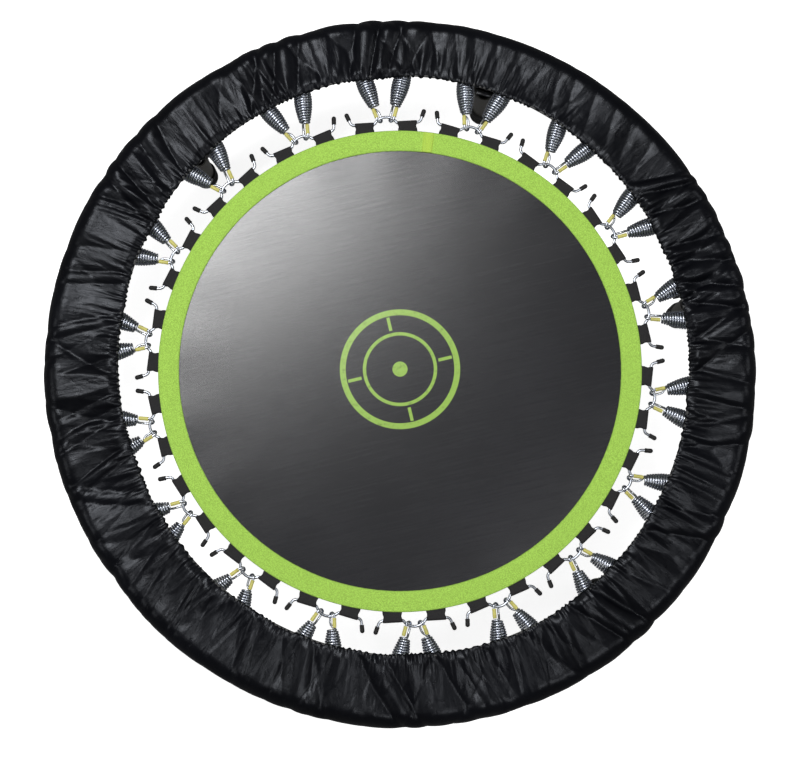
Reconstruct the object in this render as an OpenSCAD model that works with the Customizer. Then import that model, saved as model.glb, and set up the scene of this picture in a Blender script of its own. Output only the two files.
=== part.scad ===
// Mini trampoline: a steel ring on six folding legs carries a round jumping mat on V pairs of coil springs.
// Millimetres, +Z up. The origin is on the floor under the centre. Spring pair 1 and leg 1 stand on +X.

/* [Frame] */
// Outside diameter of the frame ring
frame_d = 1000; // [980:5:1030]
// Diameter of the ring's steel tube
frame_tube_d = 32; // [30:0.5:34]
// Wall of the ring's steel tube
frame_wall = 1.5; // [1:0.1:2.5]
// Height of the ring's centre line above the floor
frame_h = 200; // [195:1:240]

/* [Mat] */
// Outside diameter of the sewn edge band
band_d = 693; // [685:1:697]
// Width of the edge band
band_w = 30; // [20:1:40]
// Thickness of the woven mat
mat_t = 1; // [0.8:0.1:1]
// Thickness of the edge band
band_t = 1.5; // [1:0.1:2]

/* [Clips and loops] */
// Number of wire clips, each holding two springs
clips = 18; // [18]
// Diameter of the clip's wire
clip_wire_d = 4; // [3.5:0.1:4.2]
// How far the clip's rod stands out from the edge band
clip_reach = 10.5; // [9:0.5:11]
// Height of the clip's arch above its rod
arch_h = 10; // [8:0.5:11]
// Width of one webbing loop
loop_w = 28; // [20:1:28]

/* [Springs] */
// Diameter of the spring's wire
spring_wire_d = 2.9; // [2.4:0.1:3]
// Diameter of the coil at its mouths
coil_end_d = 16; // [15:0.5:18]
// Diameter of the coil at its middle
coil_mid_d = 27; // [22:0.5:27]
// Length of the hook from the clip to the coil
hook_l = 17; // [15:0.5:18]
// Length of the hook from the coil to the frame
frame_hook_l = 13; // [12:0.5:14]

/* [Legs] */
// Diameter of the leg tube
leg_d = 29; // [27:0.5:29]
// Wall of the leg tube
leg_wall = 1.6; // [1:0.1:2.5]
// Distance from the centre of the trampoline to a leg's axis
leg_axis_r = 435; // [430:1:436]
// Height of the folding pivot above the floor
pivot_h = 140; // [135:1:142]
// Diameter of the rubber foot
foot_d = 36; // [34:0.5:37]
// Height of the rubber foot
foot_h = 42; // [30:1:60]

/* [Skirt] */
// Radius of the gathered inner hem
skirt_hem_r = 408; // [400:1:415]
// How far the cover's cloth stands off the ring tube
skirt_gap = 4.7; // [4.5:0.1:5.5]
// Thickness of the gathered cloth
skirt_t = 1.6; // [1:0.1:2]

/* [Hidden] */

$fn = 48;
BIG = 180;          // sides shown on the large rings
FIT = 0.02;         // gap between two pieces pushed together
LAP = 0.3;          // how far a straight wire runs into the bend that it joins
STEP = 0.04;        // how much slimmer the straight wire is, so that the two surfaces never coincide

// Frame
tube_r = frame_tube_d / 2;
ring_r = frame_d / 2 - tube_r;
lugs = 2 * clips;
lug_bar_d = 4;
lug_bar_r = ring_r - tube_r - 6.5;
lug_half_w = 7;

// Mat and clips
mat_r = band_d / 2 - 0.5;
clip_r = band_d / 2 + clip_reach;
arch_a = 55;                                   // half angle of the arch
arch_fillet = 5;
arch_r = arch_h / (1 - cos(arch_a)) - arch_fillet;
arch_foot = (arch_r + arch_fillet) * sin(arch_a);
arch_x = clip_r + arch_h - arch_r;             // centre of the arch
loop_mid = 31;                                 // from the middle of the clip to the middle of a loop
loop_t = 1;
loop_inner_r = clip_wire_d / 2 + 0.35;
loop_sewn_l = 17;                              // length sewn to the mat
rod_end = loop_mid + loop_w / 2;
tip_bend_r = 7;
tip_a = 68;
tip_l = 12;
cap_d = 6.6;
cap_grip = 8.5;

// Springs
spring_on_clip = 9;                            // from the middle of the clip to a hook
spring_p = [arch_x + sqrt(pow(arch_r, 2) - pow(spring_on_clip, 2)), spring_on_clip];
spring_q = [lug_bar_r * cos(180 / lugs), lug_bar_r * sin(180 / lugs)];
spring_a = atan2(spring_q[1] - spring_p[1], spring_q[0] - spring_p[0]);
spring_l = norm(spring_q - spring_p);
coil_l = spring_l - hook_l - frame_hook_l;
coil_steps = 10;
hook_bend_r = 4.8;
hook_roll = 50;                                // tilt of the hook's plane about the spring
mouth_r = 2.2;
sleeve_d = 5.5;

// Legs
legs = 6;
leg_r = leg_d / 2;
pivot_r = leg_axis_r - 3;                      // the pivot stands inboard, so load holds the leg on its stop
knuckle_r = leg_axis_r + leg_r - pivot_r;
cheek_gap = leg_r + 0.7;
cheek_t = 3;
stop_x = leg_axis_r + leg_r + 0.35;
bolt_r = 4;
bolt_clear = 0.08;
washer_t = 1.6;
washer_r = 8;
hex_r = 13 / 2 / cos(30);
head_t = 5.3;
nut_t = 8;
bush_r = 6;
bush_l = 2 * leg_r + 1;
foot_floor = 6;

// Skirt
skirt_r = tube_r + skirt_gap + skirt_t / 2;    // of the cloth about the ring's centre line
skirt_hem_h = 18;                              // of the inner cord above the ring's centre line
hem_cord_r = 2;
hem_r = hem_cord_r + 0.1 + skirt_t / 2;        // of the cloth rolled round a cord
skirt_end_a = -70;
hem_inner = [skirt_hem_r, skirt_hem_h];
hem_outer = around([ring_r, 0], skirt_r + hem_r, skirt_end_a);

function around(c, r, a) = [c[0] + r * cos(a), c[1] + r * sin(a)];
function coil_r(u) = (coil_end_d + (coil_mid_d - coil_end_d) * pow(sin(180 * u), 1.15)) / 2;

// Copies the children at even steps around the trampoline's axis
module ring_of(n, first = 0) {
    for (k = [0 : n - 1])
        rotate(first + k * 360 / n)
            children();
}

// A ring of round section
module torus(big_r, small_r) {
    rotate_extrude($fn = BIG)
        translate([big_r, 0])
            circle(small_r);
}

// A stretch of bent wire from angle a0 to a1 about its bend centre
module wire_bend(bend_r, wire_r, a0, a1) {
    rotate(a0)
        rotate_extrude(angle = a1 - a0)
            translate([bend_r, 0])
                circle(wire_r);
}

// A straight stretch of wire from p towards angle a in the plane
module wire_run(p, a, l, wire_r) {
    translate([p[0], p[1], 0])
        rotate(a)
            translate([-LAP, 0, 0])
                rotate([0, 90, 0])
                    cylinder(r = wire_r - STEP, h = l + 2 * LAP);
}

// A plate cut in the upright plane through the leg, from y0 with thickness t
module upright_plate(points, y0, t) {
    translate([0, y0 + t, 0])
        rotate([90, 0, 0])
            linear_extrude(t)
                polygon(points);
}

module frame_ring() {
    color("#17181a")
        translate([0, 0, frame_h])
            rotate_extrude($fn = BIG)
                translate([ring_r, 0])
                    difference() {
                        circle(tube_r);
                        circle(tube_r - frame_wall);
                    }
}

// One welded eye: a tangential bar that a spring hooks over, with two legs to the tube
module spring_lug() {
    bar = lug_bar_d / 2;
    leg = bar - 0.1;
    tube_face = sqrt(pow(ring_r - tube_r, 2) - pow(lug_half_w + leg, 2));
    translate([lug_bar_r, -lug_half_w - bar, 0])
        rotate([-90, 0, 0])
            cylinder(r = bar, h = 2 * (lug_half_w + bar));
    for (side = [-1, 1])
        translate([lug_bar_r, side * lug_half_w, 0])
            rotate([0, 90, 0])
                cylinder(r = leg, h = tube_face - lug_bar_r - FIT);
}

module spring_lugs() {
    color("#17181a")
        translate([0, 0, frame_h])
            ring_of(lugs, 180 / lugs)
                spring_lug();
}

// Two cheeks and a stop plate, welded under the ring
module leg_bracket() {
    cheek = [
        [pivot_r - 15, pivot_h - 16], [stop_x + cheek_t, pivot_h - 16], [ring_r - 3, frame_h - 22],
        [ring_r - 3, frame_h - 14], [ring_r - 12, frame_h - 8], [ring_r - 18, frame_h - 10],
        [stop_x + cheek_t, frame_h - 32], [pivot_r + 8, pivot_h + 20], [pivot_r - 15, pivot_h + 10]
    ];
    stop = [
        [stop_x, pivot_h - 16], [stop_x + cheek_t, pivot_h - 16],
        [stop_x + cheek_t, frame_h - 34], [stop_x, frame_h - 34]
    ];
    difference() {
        union() {
            upright_plate(cheek, cheek_gap, cheek_t);
            upright_plate(cheek, -cheek_gap - cheek_t, cheek_t);
            upright_plate(stop, -cheek_gap - 1, 2 * cheek_gap + 2);
        }
        translate([0, 0, frame_h])
            torus(ring_r, tube_r + FIT / 2);
        translate([pivot_r, -50, pivot_h])
            rotate([-90, 0, 0])
                cylinder(r = bolt_r + bolt_clear, h = 100);
    }
}

module leg_brackets() {
    color("#17181a")
        ring_of(legs)
            leg_bracket();
}

// A round piece on the pivot's axis, from y0 with length l
module on_pivot(y0, l, r, sides = 48) {
    translate([pivot_r, y0, pivot_h])
        rotate([-90, 0, 0])
            cylinder(r = r, h = l, $fn = sides);
}

module hinge_bolts() {
    face = cheek_gap + cheek_t + washer_t;
    color("#b9bcc0")
        ring_of(legs) {
            on_pivot(-face - head_t, head_t, hex_r, 6);
            on_pivot(-face - 0.1, 2 * face + nut_t + 1.6, bolt_r);
        }
}

module hinge_washers() {
    color("#c4c6c9")
        ring_of(legs)
            for (y = [-cheek_gap - cheek_t - washer_t, cheek_gap + cheek_t])
                difference() {
                    on_pivot(y, washer_t, washer_r);
                    on_pivot(y - 1, washer_t + 2, bolt_r + 0.3);
                }
}

module hinge_nuts() {
    y = cheek_gap + cheek_t + washer_t;
    color("#b9bcc0")
        ring_of(legs)
            difference() {
                on_pivot(y, nut_t, hex_r, 6);
                on_pivot(y - 1, nut_t + 2, bolt_r + FIT);
            }
}

// One face of the cover's cloth, h off its middle: rolled round the outer cord, over the ring, round the inner cord
function cloth_face(h) = concat(
    [for (a = [350 : -24 : 110]) around(hem_outer, hem_r - h, a)],
    [for (a = [skirt_end_a + 5 : 5 : 90]) around([ring_r, 0], skirt_r + h, a)],
    [for (a = [90 : 24 : 330]) around(hem_inner, hem_r + h, a)]
);

module skirt_section() {
    outside = cloth_face(skirt_t / 2);
    inside = cloth_face(-skirt_t / 2);
    last = len(inside) - 1;
    polygon(concat(outside, [for (i = [last : -1 : 0]) inside[i]]));
}

module skirt() {
    color("#101114")
        translate([0, 0, frame_h])
            rotate_extrude($fn = BIG)
                skirt_section();
}

module skirt_inner_elastic() {
    color("#e8e8e4")
        translate([0, 0, frame_h + hem_inner[1]])
            torus(hem_inner[0], hem_cord_r);
}

module skirt_outer_elastic() {
    color("#e8e8e4")
        translate([0, 0, frame_h + hem_outer[1]])
            torus(hem_outer[0], hem_cord_r);
}

// A hook of two parallel legs around the origin, in the plane, with its legs towards +X
module hook(leg_l) {
    wire_r = spring_wire_d / 2;
    wire_bend(hook_bend_r, wire_r, 90, 270);
    for (side = [-1, 1])
        wire_run([0, side * hook_bend_r], 0, leg_l, wire_r);
}

// The close-wound coil as one barrel, with its end turns drawn in
module coil_barrel() {
    outer = [for (i = [0 : coil_steps]) [coil_r(i / coil_steps), coil_l * i / coil_steps]];
    inner_l = coil_l - 2 * spring_wire_d;
    inner = [
        for (i = [coil_steps : -1 : 0])
            [coil_r(i / coil_steps) - spring_wire_d, spring_wire_d + inner_l * i / coil_steps]
    ];
    rotate([0, 90, 0])
        rotate_extrude()
            polygon(concat(
                [[mouth_r, 0]], outer, [[mouth_r, coil_l], [mouth_r, coil_l - spring_wire_d]],
                inner, [[mouth_r, spring_wire_d]]
            ));
}

// Places a piece drawn along +X from its hook, on one side of a clip
module on_spring(side) {
    translate([spring_p[0], side * spring_p[1], frame_h])
        rotate(side * spring_a)
            children();
}

module coil_spring(side) {
    on_spring(side) {
        rotate([side * hook_roll, 0, 0])
            hook(hook_l + spring_wire_d / 2);
        translate([hook_l, 0, 0])
            coil_barrel();
        translate([spring_l, 0, 0])
            rotate([side * hook_roll, 0, 180])
                hook(frame_hook_l + spring_wire_d / 2);
    }
}

module springs() {
    color("#c9ccd2")
        ring_of(clips)
            for (side = [-1, 1])
                coil_spring(side);
}

module hook_sleeves() {
    color("#d9c45a")
        ring_of(clips)
            for (side = [-1, 1])
                on_spring(side)
                    rotate([side * hook_roll, 0, 0])
                        translate([2.8, side * hook_bend_r, 0])
                            rotate([0, 90, 0])
                                difference() {
                                    cylinder(d = sleeve_d, h = hook_l - 3.2);
                                    translate([0, 0, -1])
                                        cylinder(d = spring_wire_d + 2 * FIT, h = hook_l);
                                }
}

module mat_bed() {
    color("#2b2c30")
        translate([0, 0, frame_h - mat_t / 2])
            cylinder(r = mat_r, h = mat_t, $fn = BIG);
}

module edge_band() {
    color("#a9d64f")
        translate([0, 0, frame_h + mat_t / 2 + loop_t])
            difference() {
                cylinder(d = band_d, h = band_t, $fn = BIG);
                translate([0, 0, -1])
                    cylinder(d = band_d - 2 * band_w, h = band_t + 2, $fn = BIG);
            }
}

// One folded strap, sewn above and below the mat and passing round the clip's rod
module webbing_loop() {
    half = mat_t / 2;
    sewn_x = band_d / 2 - loop_sewn_l;
    mat_edge_x = mat_r + 1;
    turn = [for (a = [-100 : 20 : 100]) a];
    strap = concat(
        [[sewn_x, -half - loop_t], [mat_edge_x, -half - loop_t]],
        [for (a = turn) around([clip_r, 0], loop_inner_r + loop_t, a)],
        [[mat_edge_x, half + loop_t], [sewn_x, half + loop_t]]
    );
    space = concat(
        [[sewn_x - 1, -half], [mat_edge_x, -half]],
        [for (a = turn) around([clip_r, 0], loop_inner_r, a)],
        [[mat_edge_x, half], [sewn_x - 1, half]]
    );
    difference() {
        upright_plate(strap, -loop_w / 2, loop_w);
        upright_plate(space, -loop_w / 2 - 1, loop_w + 2);
    }
}

module webbing_loops() {
    color("#1c1a1d")
        translate([0, 0, frame_h])
            ring_of(clips)
                for (side = [-1, 1])
                    translate([0, side * loop_mid, 0])
                        webbing_loop();
}

// One side of a clip: the bend out of its arch, its rod and its turned-out tip
module half_clip() {
    wire_r = clip_wire_d / 2;
    bend = [clip_r + tip_bend_r, rod_end];
    lap_a = 3;
    translate([clip_r + arch_fillet, arch_foot, 0])
        wire_bend(arch_fillet, wire_r - STEP / 2, 180, 180 + arch_a + lap_a);
    wire_run([clip_r, arch_foot], 90, rod_end - arch_foot, wire_r);
    translate([bend[0], bend[1], 0])
        wire_bend(tip_bend_r, wire_r, 180 - tip_a, 180);
    wire_run(around(bend, tip_bend_r, 180 - tip_a), 90 - tip_a, tip_l, wire_r);
}

module wire_clips() {
    color("#c3c6cc")
        translate([0, 0, frame_h])
            ring_of(clips) {
                translate([arch_x, 0, 0])
                    wire_bend(arch_r, clip_wire_d / 2, -arch_a, arch_a);
                half_clip();
                mirror([0, 1, 0])
                    half_clip();
            }
}

// A blind rubber cap over one wire tip
module clip_cap() {
    start = around([clip_r + tip_bend_r, rod_end], tip_bend_r, 180 - tip_a);
    translate([start[0], start[1], 0])
        rotate(90 - tip_a)
            rotate([0, 90, 0])
                difference() {
                    union() {
                        translate([0, 0, tip_l - cap_grip])
                            cylinder(d = cap_d, h = cap_grip);
                        translate([0, 0, tip_l])
                            sphere(d = cap_d);
                    }
                    cylinder(d = clip_wire_d + 2 * FIT, h = tip_l + LAP + FIT);
                }
}

module clip_caps() {
    color("#151515")
        translate([0, 0, frame_h])
            ring_of(clips) {
                clip_cap();
                mirror([0, 1, 0])
                    clip_cap();
            }
}

// Turns a piece to the place of leg number k
module at_leg(k) {
    rotate((k - 1) * 360 / legs)
        children();
}

module leg_tube(k) {
    color("#23221b")
        at_leg(k)
            difference() {
                intersection() {
                    translate([leg_axis_r, 0, foot_floor])
                        difference() {
                            cylinder(r = leg_r, h = pivot_h + knuckle_r);
                            translate([0, 0, -1])
                                cylinder(r = leg_r - leg_wall, h = pivot_h + knuckle_r + 2);
                        }
                    union() {
                        translate([leg_axis_r - leg_d, -leg_d, 0])
                            cube([2 * leg_d, 2 * leg_d, pivot_h]);
                        on_pivot(-leg_d, 2 * leg_d, knuckle_r);
                    }
                }
                on_pivot(-leg_d, 2 * leg_d, bush_r + FIT);
            }
}

module pivot_bush(k) {
    color("#b9bcc0")
        at_leg(k)
            difference() {
                on_pivot(-bush_l / 2, bush_l, bush_r);
                on_pivot(-bush_l, 2 * bush_l, bolt_r + bolt_clear);
            }
}

// A rubber boot with three grip ribs and a chamfered sole
module leg_foot(k) {
    r = foot_d / 2;
    rib = 1.2;
    rib_h = foot_h / 7;
    outline = concat(
        [[0, 0], [r - 1.5, 0], [r, 1.5], [r, 2 * rib_h]],
        [for (i = [0 : 2], p = [[-rib, 0.2], [-rib, 0.7], [0, 0.9], [0, 1.4]])
            [r + p[0], (2 + 1.4 * i + p[1]) * rib_h]],
        [[r - 0.6, foot_h - 1], [r - 1.4, foot_h], [0, foot_h]]
    );
    color("#151515")
        at_leg(k)
            translate([leg_axis_r, 0, 0])
                difference() {
                    rotate_extrude()
                        polygon(outline);
                    translate([0, 0, foot_floor])
                        cylinder(r = leg_r + FIT, h = foot_h);
                }
}

frame_ring();
spring_lugs();
leg_brackets();
hinge_bolts();
hinge_washers();
hinge_nuts();
skirt();
skirt_inner_elastic();
skirt_outer_elastic();
springs();
hook_sleeves();
mat_bed();
edge_band();
webbing_loops();
wire_clips();
clip_caps();
leg_tube(1);  // leg_tube_1
leg_tube(2);  // leg_tube_2
leg_tube(3);  // leg_tube_3
leg_tube(4);  // leg_tube_4
leg_tube(5);  // leg_tube_5
leg_tube(6);  // leg_tube_6
pivot_bush(1);  // pivot_bush_1
pivot_bush(2);  // pivot_bush_2
pivot_bush(3);  // pivot_bush_3
pivot_bush(4);  // pivot_bush_4
pivot_bush(5);  // pivot_bush_5
pivot_bush(6);  // pivot_bush_6
leg_foot(1);  // leg_foot_1
leg_foot(2);  // leg_foot_2
leg_foot(3);  // leg_foot_3
leg_foot(4);  // leg_foot_4
leg_foot(5);  // leg_foot_5
leg_foot(6);  // leg_foot_6
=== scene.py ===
"""The visible pieces of a mini trampoline and their finishes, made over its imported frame."""

import math

import bpy
import numpy as np
from bpy.props import FloatProperty, FloatVectorProperty, IntProperty, PointerProperty
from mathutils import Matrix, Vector


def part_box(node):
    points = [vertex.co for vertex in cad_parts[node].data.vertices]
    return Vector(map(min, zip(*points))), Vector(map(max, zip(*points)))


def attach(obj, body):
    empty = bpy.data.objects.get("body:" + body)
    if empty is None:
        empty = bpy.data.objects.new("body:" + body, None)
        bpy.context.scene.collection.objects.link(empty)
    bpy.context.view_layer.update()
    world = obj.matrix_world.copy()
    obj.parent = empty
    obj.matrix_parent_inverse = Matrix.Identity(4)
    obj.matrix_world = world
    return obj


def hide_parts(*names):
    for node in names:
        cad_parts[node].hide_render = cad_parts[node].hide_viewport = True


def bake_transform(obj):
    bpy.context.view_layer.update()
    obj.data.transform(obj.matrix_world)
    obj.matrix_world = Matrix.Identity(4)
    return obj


bl_info = {
    "name": "Mini trampoline",
    "version": (1, 0, 0),
    "blender": (4, 5, 0),
    "location": "View3D > Sidebar > Trampoline",
    "description": "Makes the springs, clips, mat, edge band and gathered cover of a mini trampoline",
    "category": "Add Mesh",
}

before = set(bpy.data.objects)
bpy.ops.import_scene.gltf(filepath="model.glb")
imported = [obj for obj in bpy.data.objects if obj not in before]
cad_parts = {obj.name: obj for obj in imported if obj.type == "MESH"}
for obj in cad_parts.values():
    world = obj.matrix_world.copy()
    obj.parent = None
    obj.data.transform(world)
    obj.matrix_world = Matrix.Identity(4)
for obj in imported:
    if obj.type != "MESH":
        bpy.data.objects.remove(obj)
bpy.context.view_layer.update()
MM = 0.001
UP = np.array([0.0, 0.0, 1.0])


def node_points(node):
    """A frame node's vertices, as rows of x, y, z."""
    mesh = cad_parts[node].data
    points = np.empty(len(mesh.vertices) * 3)
    mesh.vertices.foreach_get("co", points)
    return points.reshape(-1, 3)


def node_reach(node):
    """(smallest, largest) distance of a frame node from the upright axis."""
    reach = np.hypot(*node_points(node)[:, :2].T)
    return reach.min(), reach.max()


def node_heights(node):
    low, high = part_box(node)
    return low.z, high.z


RING_LOW, RING_HIGH = node_heights("frame_ring")
TUBE_R = (RING_HIGH - RING_LOW) / 2
RING_Z = (RING_HIGH + RING_LOW) / 2
RING_R = node_reach("frame_ring")[1] - TUBE_R
MAT_R = node_reach("mat_bed")[1]
MAT_LOW, MAT_TOP = node_heights("mat_bed")
BAND_INNER_R, BAND_R = node_reach("edge_band")
HEM_LOW, HEM_HIGH = node_heights("skirt_inner_elastic")
HEM_R = sum(node_reach("skirt_inner_elastic")) / 2
HEM_Z = (HEM_LOW + HEM_HIGH) / 2
LOWER_HEM_R = sum(node_reach("skirt_outer_elastic")) / 2
LOWER_HEM_Z = sum(node_heights("skirt_outer_elastic")) / 2
CORD_R = (HEM_HIGH - HEM_LOW) / 2
LEGS = sum(name.startswith("leg_tube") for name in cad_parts)


# ---------------------------------------------------------------- sizes and colours


def size(label, default, about):
    return FloatProperty(name=label, description=about, default=default, unit="LENGTH", precision=4)


def angle(label, degrees, about):
    return FloatProperty(name=label, description=about, default=math.radians(degrees), subtype="ANGLE")


def colour(label, rgb, about):
    return FloatVectorProperty(name=label, description=about, default=rgb, subtype="COLOR", min=0, max=1)


class ClipSizes(bpy.types.PropertyGroup):
    """The wire clips and the webbing loops that hold them"""

    count: IntProperty(name="Clips", description="Clips around the mat, two springs on each", default=18)
    wire_d: size("Wire", 4 * MM, "Diameter of the clip's wire")
    reach: size("Rod reach", 10.5 * MM, "From the edge band to the clip's rod")
    arch_h: size("Arch height", 10 * MM, "Height of the arch above the rod")
    arch_a: angle("Arch", 55, "Half angle of the arch")
    fillet_r: size("Fillet", 5 * MM, "Bend between the arch and the rod")
    rod_end: size("Rod end", 45 * MM, "From the clip's middle to the end of its rod")
    tip_r: size("Tip bend", 7 * MM, "Radius of the bend at a tip")
    tip_a: angle("Tip turn", 68, "How far a tip turns outwards")
    tip_l: size("Tip length", 12 * MM, "Straight length of a tip")
    cap_l: size("Cap grip", 8.5 * MM, "Length of wire inside a cap")
    cap_d: size("Cap", 6.6 * MM, "Diameter of a rubber cap")
    loop_mid: size("Loop place", 31 * MM, "From the clip's middle to a loop's middle")
    loop_w: size("Loop width", 28 * MM, "Width of a webbing loop")
    loop_t: size("Loop thickness", 1 * MM, "Thickness of the webbing")
    loop_sewn: size("Sewn length", 17 * MM, "Length of a loop sewn under the edge band")


class SpringSizes(bpy.types.PropertyGroup):
    """The coil springs and their hooks"""

    wire_d: size("Wire", 3.5 * MM, "Diameter of the spring's wire")
    pitch: size("Pitch", 3.7 * MM, "From one turn of the coil to the next")
    end_d: size("Coil end", 16 * MM, "Diameter of the coil at its mouths")
    middle_d: size("Coil middle", 27 * MM, "Diameter of the coil at its middle")
    on_clip: size("Place on clip", 9 * MM, "From the clip's middle to a hook")
    lug_gap: size("Lug gap", 6.5 * MM, "From the ring tube to the bar that a spring hooks over")
    hook_l: size("Mat hook", 17 * MM, "From the clip to the coil")
    frame_hook_l: size("Frame hook", 13 * MM, "From the coil to the frame")
    bend_r: size("Hook bend", 4.8 * MM, "Radius of a hook's bend")
    roll: angle("Hook roll", 50, "Tilt of a hook's plane about the spring")
    sleeve_d: size("Sleeve", 5.5 * MM, "Diameter of the hook's plastic sleeve")


class MatSizes(bpy.types.PropertyGroup):
    """The jumping mat and its edge band"""

    target_r: size("Target", 82 * MM, "Radius of the printed centre target")
    band_t: size("Band thickness", 1.5 * MM, "Thickness of the edge band")
    seam_at: angle("Seam place", 69.7, "Where the band's two ends overlap")
    seam_w: size("Seam width", 15 * MM, "Length of the overlap")
    stitch_l: size("Stitch", 3.2 * MM, "Length of one stitch")
    thread_d: size("Thread", 0.55 * MM, "Diameter of the sewing thread")


class CoverSizes(bpy.types.PropertyGroup):
    """The gathered cover over the ring and the springs"""

    hem_open: size("Hem opening", 4.5 * MM, "How much wider the worn hem is than its cord at rest")
    hem_shift: size("Hem shift", 9.6 * MM, "How far the inner hem sits off centre")
    hem_shift_at: angle("Hem shift towards", 42, "The side where the hem is pulled out")
    hem_oval: size("Hem oval", 4.3 * MM, "How far the inner hem is from round")
    hem_oval_at: angle("Hem oval towards", 91, "The side where the oval hem is widest")
    rim_stand: size("Rim stand", 2.6 * MM, "How far the worn cloth stands off the ring")
    rim_oval: size("Rim oval", 2.4 * MM, "How far the outer edge is from round")
    rim_oval_at: angle("Rim oval towards", 122, "The side where the outer edge is widest")
    cut_round: size("Cut length", 3.32, "Length of the strip before it is gathered")
    cut_across: size("Cut width", 0.158, "Width of the strip before it is gathered")
    cloth_t: size("Cloth", 0.35 * MM, "Thickness of the cloth")
    settle_steps: IntProperty(name="Settling steps", description="Steps of the cloth simulation", default=18)
    settle_cap: size("Settling cap", 14 * MM, "The furthest that a point may move while it settles")


class StageSizes(bpy.types.PropertyGroup):
    """The camera"""

    distance: size("Camera distance", 3.0, "From the camera to the point that it looks at")
    elevation: angle("Camera elevation", 85, "Height of the camera above the horizon")
    turn: angle("Camera turn", -103.3, "Side of the trampoline that the camera stands on")
    aim_down: size("Aim below the centre", 0.0315, "From the mat's centre to the point looked at")
    aim_right: size("Aim right of the centre", 0.0043, "Sideways from the mat's centre")
    lens: FloatProperty(name="Lens", description="Focal length in millimetres", default=93.6)


class Colours(bpy.types.PropertyGroup):
    """The colour of each finish"""

    cover: colour("Cover", (0.0022, 0.0024, 0.0036), "Coated polyester of the cover")
    mat: colour("Mat", (0.0044, 0.0046, 0.0072), "Woven mat")
    band: colour("Band", (0.44, 0.735, 0.112), "Edge band")
    band_seam: colour("Band overlap", (0.53, 0.72, 0.09), "Edge band where it overlaps")
    webbing: colour("Webbing", (0.0075, 0.0070, 0.0080), "Webbing loops")
    steel: colour("Spring steel", (0.52, 0.55, 0.61), "Zinc plated wire")
    sleeve: colour("Sleeve", (0.66, 0.60, 0.16), "Plastic sleeve on the hooks")
    rubber: colour("Rubber", (0.008, 0.008, 0.008), "Caps and feet")
    frame_paint: colour("Frame", (0.012, 0.012, 0.013), "Powder coat of the ring and brackets")
    leg_paint: colour("Leg", (0.010, 0.009, 0.006), "Powder coat of the legs")
    zinc: colour("Zinc", (0.52, 0.53, 0.55), "Bolts, washers, nuts and bushes")
    elastic: colour("Elastic", (0.05, 0.05, 0.05), "Elastic cord in the hems")
    floor: colour("Floor", (0.86, 0.86, 0.86), "Studio floor")


class TrampolineSettings(bpy.types.PropertyGroup):
    """All sizes and colours of the trampoline"""

    clip: PointerProperty(type=ClipSizes, name="Clips", description="Clips and loops")
    spring: PointerProperty(type=SpringSizes, name="Springs", description="Coil springs")
    mat: PointerProperty(type=MatSizes, name="Mat", description="Mat and edge band")
    cover: PointerProperty(type=CoverSizes, name="Cover", description="Gathered cover")
    stage: PointerProperty(type=StageSizes, name="Stage", description="Camera")
    colours: PointerProperty(type=Colours, name="Colours", description="Finishes")


def settings():
    return bpy.context.scene.trampoline


# ---------------------------------------------------------------- shader maths


class Signal:
    """A shader socket that takes part in plain arithmetic."""

    def __init__(self, finish, socket):
        self.finish = finish
        self.socket = socket

    def maths(self, operation, *values):
        node = self.finish.node("ShaderNodeMath", {"operation": operation}, dict(enumerate(values)))
        return Signal(self.finish, node.outputs[0])

    def __add__(self, other):
        return self.maths("ADD", self, other)

    def __sub__(self, other):
        return self.maths("SUBTRACT", self, other)

    def __rsub__(self, other):
        return self.maths("SUBTRACT", other, self)

    def __mul__(self, other):
        return self.maths("MULTIPLY", self, other)

    def __truediv__(self, other):
        return self.maths("DIVIDE", self, other)

    def __rtruediv__(self, other):
        return self.maths("DIVIDE", other, self)

    def __pow__(self, other):
        return self.maths("POWER", self, other)

    def __abs__(self):
        return self.maths("ABSOLUTE", self)

    __radd__ = __add__
    __rmul__ = __mul__

    def sine(self):
        return self.maths("SINE", self)

    def lesser(self, other):
        return self.maths("MINIMUM", self, other)

    def greater(self, other):
        return self.maths("MAXIMUM", self, other)

    def fraction(self):
        return self.maths("FRACT", self)

    def ramp(self, low, high, start=0.0, end=1.0):
        """start below low, end above high, and smooth in between."""
        node = self.finish.node(
            "ShaderNodeMapRange",
            {"interpolation_type": "SMOOTHSTEP"},
            {"Value": self, "From Min": low, "From Max": high, "To Min": start, "To Max": end},
        )
        return Signal(self.finish, node.outputs[0])

    def band(self, middle, half_width, soft):
        """1 within half_width of middle, 0 outside."""
        return abs(self - middle).ramp(half_width - soft, half_width + soft, 1.0, 0.0)


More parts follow.
